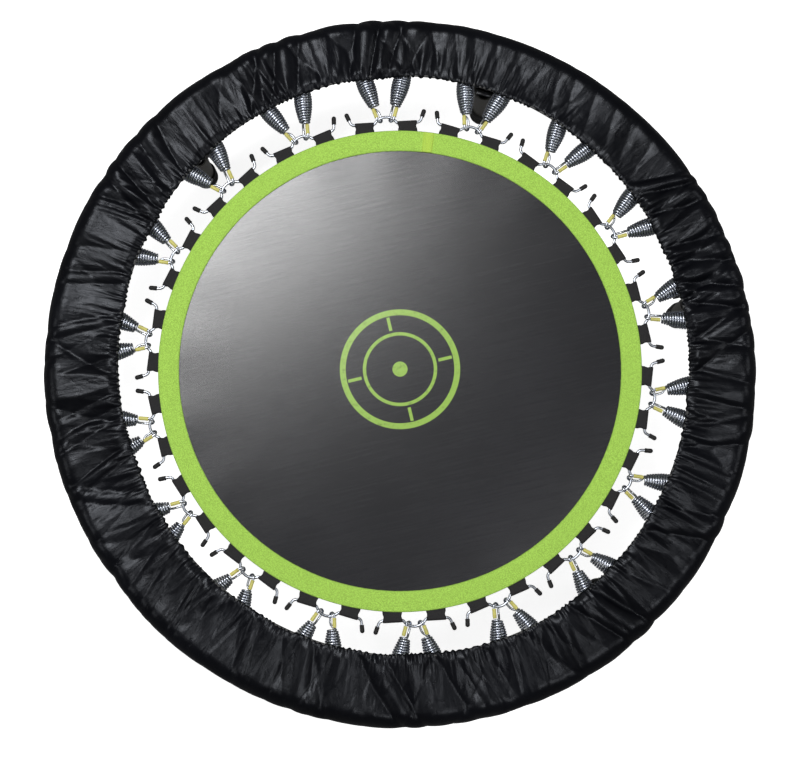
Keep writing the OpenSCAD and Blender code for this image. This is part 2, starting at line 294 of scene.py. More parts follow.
class Finish:
    """One material: a Principled shader and the nodes that drive it."""

    def __init__(self, name, **constants):
        self.material = bpy.data.materials.new(name)
        self.material.use_nodes = True
        self.tree = self.material.node_tree
        self.shader = self.tree.nodes["Principled BSDF"]
        for socket, value in constants.items():
            self.shader.inputs[socket.replace("_", " ").title().replace("Ior", "IOR")].default_value = value
        self.place = Signal(self, self.node("ShaderNodeTexCoord").outputs["Object"])

    def node(self, kind, settings=None, sockets=None):
        """Any node: its settings are set first, then the values or links of its sockets."""
        node = self.tree.nodes.new(kind)
        for name, value in (settings or {}).items():
            setattr(node, name, value)
        for name, value in (sockets or {}).items():
            socket = node.inputs[name]
            if isinstance(value, Signal):
                self.tree.links.new(value.socket, socket)
            else:
                socket.default_value = value
        return node

    def drive(self, socket, signal):
        self.tree.links.new(signal.socket, self.shader.inputs[socket])

    def axes(self, place=None):
        """The x, y and z of a place."""
        node = self.node("ShaderNodeSeparateXYZ", sockets={0: place or self.place})
        return [Signal(self, out) for out in node.outputs]

    def around(self):
        """(distance from the upright axis, angle about it in radians, height)."""
        x, y, z = self.axes()
        reach = (x * x + y * y) ** 0.5
        return reach, x.maths("ARCTAN2", y, x), z

    def join(self, x, y, z):
        node = self.node("ShaderNodeCombineXYZ", sockets={0: x, 1: y, 2: z})
        return Signal(self, node.outputs[0])

    def noise(self, scale, detail=3.0, roughness=0.5, place=None, distortion=0.0):
        node = self.node(
            "ShaderNodeTexNoise",
            sockets={
                "Vector": place or self.place,
                "Scale": scale,
                "Detail": detail,
                "Roughness": roughness,
                "Distortion": distortion,
            },
        )
        return Signal(self, node.outputs[0])

    def cells(self, scale, place=None, feature="F1"):
        node = self.node(
            "ShaderNodeTexVoronoi", {"feature": feature}, {"Vector": place or self.place, "Scale": scale}
        )
        return Signal(self, node.outputs[0])

    def blend_colours(self, share, low, high, blend_type="MIX"):
        """low where share is 0 and high where it is 1."""
        node = self.node(
            "ShaderNodeMix",
            {"data_type": "RGBA", "blend_type": blend_type},
            {0: share, 6: self.rgba(low), 7: self.rgba(high)},
        )
        return Signal(self, node.outputs[2])

    @staticmethod
    def rgba(value):
        return value if isinstance(value, Signal) else (*tuple(value)[:3], 1.0)

    def bump(self, height, depth, strength=1.0):
        """Feeds Normal from a height in units of depth metres."""
        node = self.node(
            "ShaderNodeBump", sockets={"Height": height, "Distance": depth, "Strength": strength}
        )
        self.drive("Normal", Signal(self, node.outputs[0]))


def shade(rgb, factor):
    return tuple(min(1.0, c * factor) for c in rgb)


# ---------------------------------------------------------------- finishes


def cover_cloth():
    """Coated polyester: a close plain weave with a soft bluish sheen and crease relief, with a painted highlight
    lightening its base colour on the raised crease ridges.
    """
    c = settings().colours.cover
    f = Finish("cover_cloth", specular_ior_level=0.2, specular_tint=(0.88, 0.92, 1.0, 1.0))
    reach, turn, height = f.around()
    x, y, _ = f.axes()
    crease_relief_and_highlight = f.noise(38.0, 5.0, 0.62, distortion=1.6)
    crinkle = f.noise(1.0, 4.0, 0.6, f.join(x / reach * 40, y / reach * 40, (reach - height) * 24), 1.2)
    cloud = f.noise(7.0, 3.0, 0.5)
    along = turn * RING_R
    weave = (along * 5200).sine() * (reach * 5200).sine()
    tone = f.blend_colours(cloud.ramp(0.3, 0.7), shade(c, 0.8), shade(c, 1.35))
    # painted highlight: the base colour is lightened towards shade(c, 1.9) on the raised crease ridges of the
    # noise that also drives the bump
    f.drive("Base Color", f.blend_colours(crease_relief_and_highlight.ramp(0.55, 0.8) * 0.5, tone, shade(c, 1.9)))
    f.drive("Roughness", crease_relief_and_highlight.ramp(0.2, 0.8, 0.25, 0.38))
    f.bump(crinkle * 1.0 + crease_relief_and_highlight * 0.5 + weave * 0.02 + f.noise(240.0, 2.0) * 0.04, 1.4 * MM, 0.5)
    return f.material


def mat_weave():
    """Woven polypropylene with a printed target of rings and ticks at its centre."""
    s = settings()
    c = s.colours.mat
    f = Finish("mat_weave", specular_ior_level=0.72)
    x, y, _ = f.axes()
    reach, turn, _ = f.around()
    pitch = math.tau / (1.7 * MM)
    warp = (x * pitch).sine()
    weft = (y * pitch).sine()
    threads = (warp * weft).ramp(-1.0, 1.0)
    streaks = f.noise(1.0, 3.0, 0.6, f.join(x * 260.0, y * 9.0, 0.0))
    rows = f.noise(1.0, 3.0, 0.6, f.join(x * 9.0, y * 260.0, 0.0))
    cloud = f.noise(5.0, 3.0, 0.55)
    cloth = f.blend_colours(threads * 0.55 + streaks * 0.25 + rows * 0.2, shade(c, 0.55), shade(c, 1.5))
    cloth = f.blend_colours(cloud.ramp(0.3, 0.75) * 0.35, cloth, shade(c, 2.0))
    r = s.mat.target_r
    edge = 0.4 * MM
    rings = reach.band(r, 4.2 * MM, edge).greater(reach.band(0.62 * r, 2.4 * MM, edge))
    rings = rings.greater(reach.ramp(0.13 * r, 0.13 * r + edge, 1.0, 0.0))
    quarter = (turn * (2 / math.pi) + 0.25).fraction() * (math.pi / 2)
    ticks = (abs(quarter - math.pi / 8) * reach).ramp(2.0 * MM, 2.6 * MM, 1.0, 0.0)
    ticks = ticks * reach.band(0.81 * r, 0.12 * r, edge)
    print_mask = rings.greater(ticks)
    wear = f.noise(160.0, 4.0, 0.65).ramp(0.25, 0.5, 0.55, 1.0)
    inked = f.blend_colours(threads * 0.6, shade(s.colours.band, 0.62), shade(s.colours.band, 0.95))
    f.drive("Base Color", f.blend_colours(print_mask * wear, cloth, inked))
    f.drive("Roughness", threads.ramp(0.0, 1.0, 0.24, 0.17) + cloud * 0.03 + rows * 0.04)
    f.bump(threads + streaks * 0.3 + rows * 0.3, 0.03 * MM, 0.6)
    return f.material


def band_webbing():
    """Lime webbing of a looped, speckled yarn, with painted shade darkening it along both edges."""
    s = settings()
    c = s.colours.band
    f = Finish("band_webbing", sheen_weight=0.12, sheen_roughness=0.5, specular_ior_level=0.25)
    reach, turn, _ = f.around()
    place = f.join(turn * BAND_R, reach * 1.4, 0.0)
    loops = f.cells(620.0, place)
    speckle = f.noise(900.0, 3.0, 0.7)
    drift = f.noise(22.0, 3.0, 0.6)
    edge = (reach - BAND_INNER_R).lesser(BAND_R - reach).ramp(0.0, 1.6 * MM, 1.0, 0.0)
    yarn = f.blend_colours(loops.ramp(0.1, 0.75), shade(c, 1.12), shade(c, 0.72))
    yarn = f.blend_colours(speckle.ramp(0.5, 0.72) * 0.5, yarn, shade(c, 1.35))
    yarn = f.blend_colours(speckle.ramp(0.22, 0.42, 1.0, 0.0) * 0.45, yarn, shade(c, 0.45))
    yarn = f.blend_colours(drift.ramp(0.35, 0.7) * 0.25, yarn, shade(c, 0.85))
    seam = (abs(turn - s.mat.seam_at) * BAND_R).ramp(s.mat.seam_w / 2, s.mat.seam_w / 2 + 1.5 * MM, 1.0, 0.0)
    yarn = f.blend_colours(seam * 0.6, yarn, s.colours.band_seam)
    # painted shade: the yarn colour is darkened towards shade(c, 0.30) within 1.6 mm of both edges, where the band
    # rounds off and turns down
    f.drive("Base Color", f.blend_colours(edge * 0.55, yarn, shade(c, 0.30)))
    f.drive("Roughness", loops.ramp(0.0, 0.8, 0.72, 0.95))
    f.bump((1 - loops) * 0.8 + speckle * 0.5, 0.5 * MM, 0.8)
    return f.material


def loop_webbing():
    """Black ribbed webbing."""
    c = settings().colours.webbing
    f = Finish("loop_webbing", sheen_weight=0.1, sheen_roughness=0.4)
    reach, turn, height = f.around()
    ribs = (turn * (BAND_R * math.tau / (1.3 * MM))).sine()
    across = (reach * (math.tau / (0.9 * MM))).sine()
    fuzz = f.noise(700.0, 3.0, 0.6)
    f.drive("Base Color", f.blend_colours(ribs.ramp(-1.0, 1.0) * 0.5 + fuzz * 0.4, shade(c, 0.6), shade(c, 1.9)))
    f.drive("Roughness", fuzz.ramp(0.2, 0.8, 0.62, 0.86))
    f.bump(ribs * 0.5 + across * 0.25 + fuzz * 0.4, 0.3 * MM, 0.7)
    return f.material


def wire_zinc(name, rgb, rough):
    """Zinc plated wire: bright, faintly streaked and stained."""
    f = Finish(name, metallic=1.0)
    stain = f.noise(60.0, 4.0, 0.6)
    streak = f.noise(420.0, 3.0, 0.7)
    f.drive("Base Color", f.blend_colours(stain.ramp(0.35, 0.75) * 0.6, rgb, shade(rgb, 0.72)))
    f.drive("Roughness", streak.ramp(0.2, 0.8, rough, rough + 0.14))
    f.bump(streak, 0.05 * MM, 0.35)
    return f.material


def sleeve_plastic():
    """Soft yellow plastic tube, slightly soiled."""
    c = settings().colours.sleeve
    f = Finish("sleeve_plastic", subsurface_weight=0.05, coat_roughness=0.4)
    soil = f.noise(90.0, 4.0, 0.6)
    grain = f.noise(500.0, 2.0, 0.5)
    f.drive("Base Color", f.blend_colours(soil.ramp(0.4, 0.75) * 0.6, c, shade(c, 0.55)))
    f.drive("Roughness", grain.ramp(0.2, 0.8, 0.38, 0.55))
    f.bump(grain, 0.08 * MM, 0.4)
    return f.material


def moulded_rubber():
    """Matt black rubber with a fine mould texture and a dusty bloom."""
    c = settings().colours.rubber
    f = Finish("moulded_rubber", specular_ior_level=0.4)
    bloom = f.noise(45.0, 4.0, 0.6)
    grain = f.cells(1400.0)
    f.drive("Base Color", f.blend_colours(bloom.ramp(0.4, 0.8) * 0.6, c, shade(c, 2.4)))
    f.drive("Roughness", bloom.ramp(0.2, 0.8, 0.55, 0.78))
    f.bump(grain + f.noise(300.0, 3.0) * 0.6, 0.12 * MM, 0.5)
    return f.material


def powder_coat(name, rgb):
    """Powder coat: fine orange peel, a few scuffs that show on height changes."""
    f = Finish(name, coat_weight=0.15, coat_roughness=0.25, specular_ior_level=0.5)
    peel = f.noise(650.0, 2.0, 0.45)
    tone = f.noise(14.0, 4.0, 0.6)
    scuffs = f.noise(1.0, 4.0, 0.7, f.join(*[a * s for a, s in zip(f.axes(), (90.0, 90.0, 700.0))]))
    f.drive("Base Color", f.blend_colours(tone.ramp(0.3, 0.7) * 0.7, rgb, shade(rgb, 1.6)))
    f.drive("Roughness", (scuffs.ramp(0.58, 0.72) * 0.2 + peel.ramp(0.2, 0.8, 0.34, 0.44)))
    f.bump(peel, 0.12 * MM, 0.45)
    return f.material


def elastic_braid():
    """Covered elastic cord with a braid's slanting ribs."""
    c = settings().colours.elastic
    f = Finish("elastic_braid", sheen_weight=0.1)
    _, turn, height = f.around()
    lay = turn * (HEM_R * math.tau / (1.6 * MM))
    braid = (lay + height * 2600).sine() * (lay - height * 2600).sine()
    f.drive("Base Color", f.blend_colours(braid.ramp(-0.8, 0.8), shade(c, 0.6), shade(c, 1.7)))
    f.drive("Roughness", braid.ramp(-1.0, 1.0, 0.7, 0.9))
    f.bump(braid, 0.25 * MM, 0.6)
    return f.material


def sewing_thread():
    c = settings().colours.band
    f = Finish("sewing_thread", sheen_weight=0.15)
    twist = f.noise(2400.0, 2.0, 0.5)
    f.drive("Base Color", f.blend_colours(twist.ramp(0.3, 0.7), shade(c, 0.75), shade(c, 1.05)))
    f.drive("Roughness", twist.ramp(0.2, 0.8, 0.5, 0.7))
    f.bump(twist, 0.08 * MM, 0.5)
    return f.material


def floor_paper():
    """Plain pale studio paper."""
    c = settings().colours.floor
    f = Finish("floor_paper", specular_ior_level=0.1, emission_color=(1, 1, 1, 1), emission_strength=0.86)
    tooth = f.noise(120.0, 3.0, 0.5)
    f.drive("Base Color", f.blend_colours(tooth * 0.5, c, shade(c, 0.985)))
    f.drive("Roughness", tooth.ramp(0.2, 0.8, 0.9, 0.98))
    return f.material


# ---------------------------------------------------------------- mesh helpers


def direction(turn):
    return np.array([math.cos(turn), math.sin(turn), 0.0])


def turned(points, turn, about=2):
    """Points turned about the x axis (0) or the upright axis (2)."""
    c, s = math.cos(turn), math.sin(turn)
    spin = {2: [[c, -s, 0], [s, c, 0], [0, 0, 1]], 0: [[1, 0, 0], [0, c, -s], [0, s, c]]}[about]
    return np.asarray(points, float) @ np.array(spin).T


def joined(parts):
    """Several (vertices, faces) as one."""
    vertices, faces, start = [], [], 0
    for v, f in parts:
        vertices.append(np.asarray(v, float))
        faces += [tuple(i + start for i in face) for face in f]
        start += len(v)
    return np.concatenate(vertices), faces


def grid_faces(rows, columns, close_columns=True, close_rows=False, flip=False):
    """Quads over a grid of vertices that runs along columns first."""
    faces = []
    for j in range(rows if close_rows else rows - 1):
        k = (j + 1) % rows
        for i in range(columns if close_columns else columns - 1):
            m = (i + 1) % columns
            quad = (j * columns + i, j * columns + m, k * columns + m, k * columns + i)
            faces.append(quad[::-1] if flip else quad)
    return faces


def piece(name, shape, material, smooth=True):
    vertices, faces = shape
    mesh = bpy.data.meshes.new(name)
    mesh.from_pydata(np.asarray(vertices).tolist(), [], faces)
    mesh.polygons.foreach_set("use_smooth", [smooth] * len(mesh.polygons))
    if material:
        mesh.materials.append(material)
    mesh.update()
    made = bpy.data.objects.new(name, mesh)
    bpy.context.scene.collection.objects.link(made)
    return made


def unit_tangents(path):
    steps = np.gradient(path, axis=0)
    return steps / np.linalg.norm(steps, axis=1)[:, None]


def wire(path, radius, sides=10):
    """A round wire swept along a path, with closed ends that keep its section from twisting."""
    path = np.asarray(path, float)
    radius = np.broadcast_to(np.asarray(radius, float), (len(path),))
    along = unit_tangents(path)
    normal = np.cross(along[0], UP if abs(along[0][2]) < 0.9 else np.array([1.0, 0, 0]))
    normal /= np.linalg.norm(normal)
    rings = []
    spread = np.arange(sides) * math.tau / sides
    for p, t, r in zip(path, along, radius):
        normal = normal - t * (normal @ t)
        normal /= np.linalg.norm(normal)
        side = np.cross(t, normal)
        rings.append(p + r * (np.cos(spread)[:, None] * normal + np.sin(spread)[:, None] * side))
    vertices = np.concatenate(rings)
    faces = grid_faces(len(path), sides)
    last = len(path) * sides
    faces += [tuple(range(sides))[::-1], tuple(range(last - sides, last))]
    return vertices, faces


def wire_loop(path, radius, sides=10):
    """A round cord swept round a closed, level path."""
    out = path * [1, 1, 0]
    out /= np.linalg.norm(out, axis=1)[:, None]
    spread = np.arange(sides) * math.tau / sides
    rings = [p + radius * (np.cos(spread)[:, None] * o + np.sin(spread)[:, None] * UP) for p, o in zip(path, out)]
    return np.concatenate(rings), grid_faces(len(path), sides, close_rows=True, flip=True)


def turned_profile(profile, sides=20):
    """A profile of (distance along x, radius) turned about x."""
    spread = np.arange(sides) * math.tau / sides
    rings = [
        np.column_stack([np.full(sides, x), r * np.cos(spread), r * np.sin(spread)]) for x, r in profile
    ]
    faces = grid_faces(len(profile), sides)
    return np.concatenate(rings), faces


def arc(centre, radius, start, end, steps):
    """Points of an arc in the flat, z 0."""
    turn = np.linspace(start, end, steps)
    return np.column_stack(
        [centre[0] + radius * np.cos(turn), centre[1] + radius * np.sin(turn), np.zeros(steps)]
    )


def smoothed(path, passes):
    """A path with its corners rounded and its ends kept."""
    path = np.array(path, float)
    for _ in range(passes):
        path[1:-1] = (path[:-2] + 2 * path[1:-1] + path[2:]) / 4
    return path


def clip_turns():
    count = settings().clip.count
    return [k * math.tau / count for k in range(count)]


# ---------------------------------------------------------------- shapes


def clip_places():
    """The clip's driving places in the flat, for the clip on +X."""
    c = settings().clip
    rod_x = BAND_R + c.reach
    arch_r = c.arch_h / (1 - math.cos(c.arch_a)) - c.fillet_r
    return rod_x, arch_r, rod_x + c.arch_h - arch_r, (arch_r + c.fillet_r) * math.sin(c.arch_a)


def tip_start():
    """Where the straight tip of a clip starts, and the way that it points."""
    c = settings().clip
    rod_x = clip_places()[0]
    turn = math.pi - c.tip_a
    start = np.array([rod_x + c.tip_r * (1 + math.cos(turn)), c.rod_end + c.tip_r * math.sin(turn), 0.0])
    return start, math.pi / 2 - c.tip_a


def clip_path():
    """The whole wire of one clip: tip, rod, arch, rod, tip."""
    c = settings().clip
    rod_x, arch_r, arch_x, foot = clip_places()
    start, way = tip_start()
    half = [
        arc((arch_x, 0), arch_r, 0.0, c.arch_a, 14),
        arc((rod_x + c.fillet_r, foot), c.fillet_r, math.pi + c.arch_a, math.pi, 9)[1:],
        np.linspace([rod_x, foot, 0], [rod_x, c.rod_end, 0], 8)[1:],
        arc((rod_x + c.tip_r, c.rod_end), c.tip_r, math.pi, math.pi - c.tip_a, 9)[1:],
        np.linspace(start, start + direction(way) * c.tip_l, 5)[1:],
    ]
    half = np.concatenate(half)
    return np.concatenate([half[:0:-1] * [1, -1, 1], half])


def at_height(shape, height=None):
    vertices, faces = shape
    return vertices + UP * (RING_Z if height is None else height), faces


def mirrored(shape):
    vertices, faces = shape
    return vertices * [1, -1, 1], [face[::-1] for face in faces]


def around_ring(shape, turns):
    """Copies of a shape made on +X, turned about the upright axis."""
    vertices, faces = shape
    return joined([(turned(vertices, turn), faces) for turn in turns])


def cap_shape():
    """One rubber cap: a rolled lip, a grooved grip and a domed end."""
    c = settings().clip
    start, way = tip_start()
    r = c.cap_d / 2
    back = c.tip_l - c.cap_l
    bore = c.wire_d / 2 + 0.02 * MM
    grip = [(back + 0.3 * MM, bore), (back, bore + 0.3 * MM), (back, r - 0.3 * MM), (back + 0.35 * MM, r)]
    for groove in range(3):
        x = back + (1.9 + 1.7 * groove) * MM
        grip += [(x - 0.35 * MM, r), (x, r - 0.35 * MM), (x + 0.35 * MM, r)]
    dome = [
        (c.tip_l + r * math.sin(a), r * math.cos(a)) for a in np.radians([0, 15, 30, 45, 60, 75, 88])
    ]
    profile = [(c.tip_l - 1 * MM, bore)] + grip + dome
    vertices, faces = turned_profile(profile, 18)
    end = len(vertices)
    faces.append(tuple(range(end - 18, end)))
    faces.append(tuple(range(18))[::-1])
    return turned(vertices, way) + start, faces


def loop_shape():
    """One folded strap: sewn above and below the mat, ribbed, and round the clip's rod."""
    c = settings().clip
    rod_x = clip_places()[0]
    half = (MAT_TOP - MAT_LOW) / 2
    inner_r = c.wire_d / 2 + 0.35 * MM
    sewn_x = BAND_R - c.loop_sewn
    across = np.linspace(-1, 1, 11)
    rib = 1.5 * MM

    def face(radius, lift, steps):
        turn = np.radians(np.linspace(-100, 100, steps))
        bend = np.column_stack([rod_x + radius * np.cos(turn), radius * np.sin(turn)])
        under = np.array([[sewn_x, -half - lift], [MAT_R + 1 * MM, -half - lift]])
        over = under[::-1] * [1, -1]
        low = np.concatenate([np.linspace(*under, 5), np.linspace(under[1], bend[0], 6)[1:-1]])
        high = np.concatenate([np.linspace(bend[-1], over[0], 20)[1:], np.linspace(*over, 34)[1:]])
        return np.concatenate([low, bend, high])

    rows = []
    outside = face(inner_r + c.loop_t, c.loop_t, 28)
    inside = face(inner_r, 0.02 * MM, 28)
    run = np.concatenate([[0], np.cumsum(np.linalg.norm(np.diff(outside, axis=0), axis=1))])
    for path, sign in ((outside, 1), (inside[::-1], -1)):
        lengths = run if sign > 0 else run[::-1]
        thinner = outside if sign > 0 else outside[::-1]
        other = inside if sign > 0 else inside[::-1]
        out = thinner - other
        out /= np.linalg.norm(out, axis=1)[:, None]
        for p, n, l in zip(path, out, lengths):
            wave = 0.09 * MM * math.cos(l * math.tau / rib) if sign > 0 else 0.0
            pinch = -0.22 * MM * np.abs(across) ** 12 * sign
            lift = wave * (1 - 0.3 * across**2) + pinch
            x = p[0] + n[0] * lift
            z = p[1] + n[1] * lift
            bare = min(1.0, max(0.0, (p[0] - BAND_R) / (rod_x - BAND_R)))
            waist = 1 - 0.09 * math.sin(math.pi * bare) ** 2
            rows.append(np.column_stack([x, across * waist * c.loop_w / 2, z]))
    count = len(rows)
    faces = grid_faces(count, len(across), close_columns=False, close_rows=True, flip=True)
    for edge, flip in ((0, True), (len(across) - 1, False)):
        for j in range(count // 2 - 1):
            k = count - 1 - j
            quad = tuple(i * len(across) + edge for i in (j, j + 1, k - 1, k))
            faces.append(quad[::-1] if flip else quad)
    return np.concatenate(rows), faces


def spring_places():
    """(start of a spring, its angle to the clip's radius, its length) in the flat, for its +Y side."""
    c, s = settings().clip, settings().spring
    _, arch_r, arch_x, _ = clip_places()
    start = np.array([arch_x + math.sqrt(arch_r**2 - s.on_clip**2), s.on_clip, 0.0])
    bar_r = RING_R - TUBE_R - s.lug_gap
    end = bar_r * direction(math.pi / (2 * c.count))
    run = end - start
    return start, math.atan2(run[1], run[0]), np.linalg.norm(run)


def spring_path(side):
    """One wire from the free end in the sleeve, round the clip, through the coil and round the eye."""
    s = settings().spring
    length = spring_places()[2]
    wire_r = s.wire_d / 2
    coil_l = length - s.hook_l - s.frame_hook_l
    turns = round((coil_l - s.wire_d) / s.pitch)
    steps = 22

    def coil_radius(share):
        swell = math.sin(math.pi * min(max(share, 0), 1)) ** 1.15
        return (s.end_d + (s.middle_d - s.end_d) * swell) / 2 - wire_r

    bend = arc((0, 0), s.bend_r, math.pi / 2, 3 * math.pi / 2, 13)
    first = np.concatenate([np.linspace([s.hook_l - 0.6 * MM, s.bend_r, 0], bend[0], 7)[:-1], bend])
    leg = np.linspace(bend[-1], [s.hook_l - 2.6 * MM, -s.bend_r, 0], 7)[1:]
    first = np.concatenate([first, leg])
    first[:, 1] *= side
    start_turn = -side * math.pi / 2
    coil = []
    for i in range(turns * steps + 1):
        share = i / (turns * steps)
        ease = min(1.0, min(share, 1 - share) * turns / 0.45)
        ease = ease * ease * (3 - 2 * ease)
        r = s.bend_r + (coil_radius(share) - s.bend_r) * ease
        a = start_turn + math.tau * i / steps
        x = s.hook_l + wire_r + (coil_l - s.wire_d) * share
        coil.append([x, r * math.cos(a), r * math.sin(a)])
    coil = np.array(coil)[:, [0, 1, 2]]
    spun = coil.copy()
    spun[:, 1] = coil[:, 1]
    last = first[::-1] * [1, 1, 1]
    far_leg = last.copy()
    far_leg[:, 0] = length - far_leg[:, 0] * s.frame_hook_l / s.hook_l
    bend_part = arc((0, 0), s.bend_r, math.pi / 2, 3 * math.pi / 2, 13)
    far = np.concatenate(
        [
            np.linspace([s.frame_hook_l - 2.6 * MM, -s.bend_r, 0], bend_part[-1], 6)[:-1],
            bend_part[::-1],
            np.linspace(bend_part[0], [s.frame_hook_l - 0.9 * MM, s.bend_r, 0], 6)[1:],
        ]
    )
    far[:, 1] *= side
    far[:, 0] = length - far[:, 0]
    return first, spun, far


def spring_wire(side):
    """The vertices and faces of one spring, in the flat of its clip on +X."""
    s = settings().spring
    start, way, _ = spring_places()
    first, coil, far = spring_path(side)
    join = 9
    path = np.concatenate([first, coil, far])
    for middle in (len(first), len(first) + len(coil)):
        window = slice(middle - join, middle + join)
        path[window] = smoothed(path[window], 3)
    roll = side * s.roll
    path = turned(path, roll, about=0)
    vertices, faces = wire(path, s.wire_d / 2, 8)
    return turned(vertices, side * way) + start * [1, side, 1], faces


def sleeve_shape(side):
    """One plastic sleeve, open at both ends, a little flared where it was pushed on."""
    s = settings().spring
    start, way, _ = spring_places()
    r = s.sleeve_d / 2
    bore = s.wire_d / 2 + 0.03 * MM
    begin, length = 2.8 * MM, s.hook_l - 3.2 * MM
    outside = [
        (begin + length * u, r * (1 + 0.04 * math.cos(math.tau * 1.5 * u) - 0.05 * (u > 0.98)))
        for u in np.linspace(0, 1, 15)
    ]
    profile = outside + [(begin + length, bore), (begin, bore)]
    vertices, faces = turned_profile(profile, 14)
    last = len(vertices) - 14
    faces += [(i, last + i, last + (i + 1) % 14, (i + 1) % 14) for i in range(14)]
    vertices = turned(vertices + [0, side * s.bend_r, 0], side * s.roll, about=0)
    return turned(vertices, side * way) + start * [1, side, 1], faces


def disc_shape(rings, columns, top, bottom):
    """A closed disc: radii with the heights of its top and bottom faces as functions of (radius, turns)."""
    turns = np.arange(columns) * math.tau / columns
    rows = []
    for r in rings:
        rows.append(np.column_stack([r * np.cos(turns), r * np.sin(turns), top(r, turns)]))
    for r in rings[::-1]:
        rows.append(np.column_stack([r * np.cos(turns), r * np.sin(turns), bottom(r, turns)]))
    vertices = np.concatenate(rows)
    faces = grid_faces(len(rows), columns, flip=True)
    middle = len(vertices)
    vertices = np.concatenate([vertices, [[0, 0, top(0.0, 0.0)], [0, 0, bottom(0.0, 0.0)]]])
    last = (len(rows) - 1) * columns
    for i in range(columns):
        j = (i + 1) % columns
        faces.append((middle, i, j))
        faces.append((middle + 1, last + j, last + i))
    return vertices, faces


def band_top(r):
    """Height of the band's upper face at a distance from the centre."""
    t = settings().mat.band_t
    rise = min(1.0, (r - BAND_INNER_R) / (9 * MM))
    rise = rise * rise * (3 - 2 * rise)
    loop_t = settings().clip.loop_t
    edge = min(1.0, max(0.0, (BAND_R - r) / (0.8 * MM)))
    return MAT_TOP + t * 0.72 + loop_t * (0.12 + 0.88 * rise) + 0.28 * t * edge**0.5 - 0.1 * MM


def band_shape(columns):
    """The edge band: a webbing ring with rounded edges that drops to the mat at its inner edge."""
    t = settings().mat.band_t
    turns = np.arange(columns) * math.tau / columns
    rng = np.random.default_rng(5)
    fuzz = rng.normal(0, 0.10 * MM, columns)
    fuzz = (fuzz + np.roll(fuzz, 1)) / 1.6
    width = BAND_R - BAND_INNER_R
    radii = BAND_INNER_R + width * np.array(
        [0, 0.006, 0.02, 0.05, 0.08, 0.11, 0.2, 0.3, 0.45, 0.6, 0.75, 0.86, 0.93, 0.965, 0.985, 1]
    )
    section = []
    for i, r in enumerate(radii):
        ridge = 0.07 * MM * math.cos((r - BAND_INNER_R) * math.tau / (3.2 * MM))
        pull = -0.16 * MM if i in (3, 14) else 0.0
        round_off = -0.3 * t * (1 if i in (0, len(radii) - 1) else 0)
        section.append((r, band_top(r) + ridge + pull + round_off))
    under = [(r, band_top(r) - t * 0.86) for r in radii[::-1]]
    rows = []
    for i, (r, z) in enumerate(section + under):
        edge = i in (0, 1, len(section) + len(under) - 1, len(section) + len(under) - 2)
        radius = r + (fuzz if edge else 0.0)
        lobes = 0.12 * MM * np.cos(turns * 36) * min(1.0, max(0.0, (BAND_R - r) / width * 3))
        rows.append(np.column_stack([radius * np.cos(turns), radius * np.sin(turns), z + lobes * 0.6 + 0 * turns]))
    return np.concatenate(rows), grid_faces(len(rows), columns, close_rows=True, flip=True)


def overlap_shape():
    """The short lap where the band's two ends meet: a second layer with a folded edge."""
    m = settings().mat
    radii = np.linspace(BAND_INNER_R + 0.3 * MM, BAND_R - 0.3 * MM, 22)
    along = np.linspace(-m.seam_w / 2, m.seam_w / 2, 15)
    rows_top, rows_low = [], []
    for a in along:
        turn = m.seam_at + a / BAND_R
        edge = min(1.0, (m.seam_w / 2 - abs(a)) / (1.6 * MM))
        lift = 0.15 * MM + 1.0 * MM * math.sqrt(edge) + 0.25 * MM * (1 if abs(a) > m.seam_w * 0.3 else 0)
        top = np.array([band_top(r) for r in radii])
        wobble = 0.12 * MM * np.sin(radii * 900 + a * 700)
        point = np.column_stack([radii * math.cos(turn), radii * math.sin(turn), top + lift + wobble])
        rows_top.append(point)
        rows_low.append(np.column_stack([point[:, 0], point[:, 1], top - 0.2 * MM]))
    n = len(radii)
    vertices = np.concatenate(rows_top + rows_low)
    faces = grid_faces(len(along), n, close_columns=False, flip=True)
    start = len(along) * n
    faces += [tuple(i + start for i in face[::-1]) for face in list(faces)]
    for row in (0, len(along) - 1):
        for i in range(n - 1):
            a, b = row * n + i, row * n + i + 1
            quad = (a, b, b + start, a + start)
            faces.append(quad if row == 0 else quad[::-1])
    for i in (0, n - 1):
        for row in range(len(along) - 1):
            a, b = row * n + i, (row + 1) * n + i
            quad = (a, a + start, b + start, b)
            faces.append(quad if i == 0 else quad[::-1])
    return vertices, faces


def stitch(start, end, rise):
    """One stitch from start to end, arched a little over the cloth."""
    m = settings().mat
    share = np.linspace(0, 1, 5)
    path = start + (end - start) * share[:, None] + UP * (np.sin(math.pi * share) * rise - 0.15 * MM)[:, None]
    radius = m.thread_d / 2 * np.array([0.6, 1.0, 1.05, 1.0, 0.6])
    return wire(path, radius, 6)


def stitch_rings():
    """Two rows of stitches round the band, and two short rows across the band through the overlap."""
    m, c = settings().mat, settings().clip
    parts = []
    for r in (BAND_INNER_R + 2.2 * MM, BAND_R - 2.6 * MM):
        z = band_top(r)
        count = round(math.tau * r / (m.stitch_l * 1.3))
        for k in range(count):
            a = k * math.tau / count
            b = a + m.stitch_l / r
            parts.append(stitch(r * direction(a) + UP * z, r * direction(b) + UP * z, 0.32 * MM))
    for side in (-0.28, 0.28):
        turn = m.seam_at + side * m.seam_w / BAND_R
        count = int((BAND_R - BAND_INNER_R - 4 * MM) / (m.stitch_l * 0.9))
        for k in range(count):
            r = BAND_INNER_R + 2 * MM + k * m.stitch_l * 0.9
            lift = UP * (band_top(r) + 1.25 * MM)
            parts.append(stitch(r * direction(turn) + lift, (r + 2.2 * MM) * direction(turn) + lift, 0.3 * MM))
    return joined(parts)


# ---------------------------------------------------------------- cover


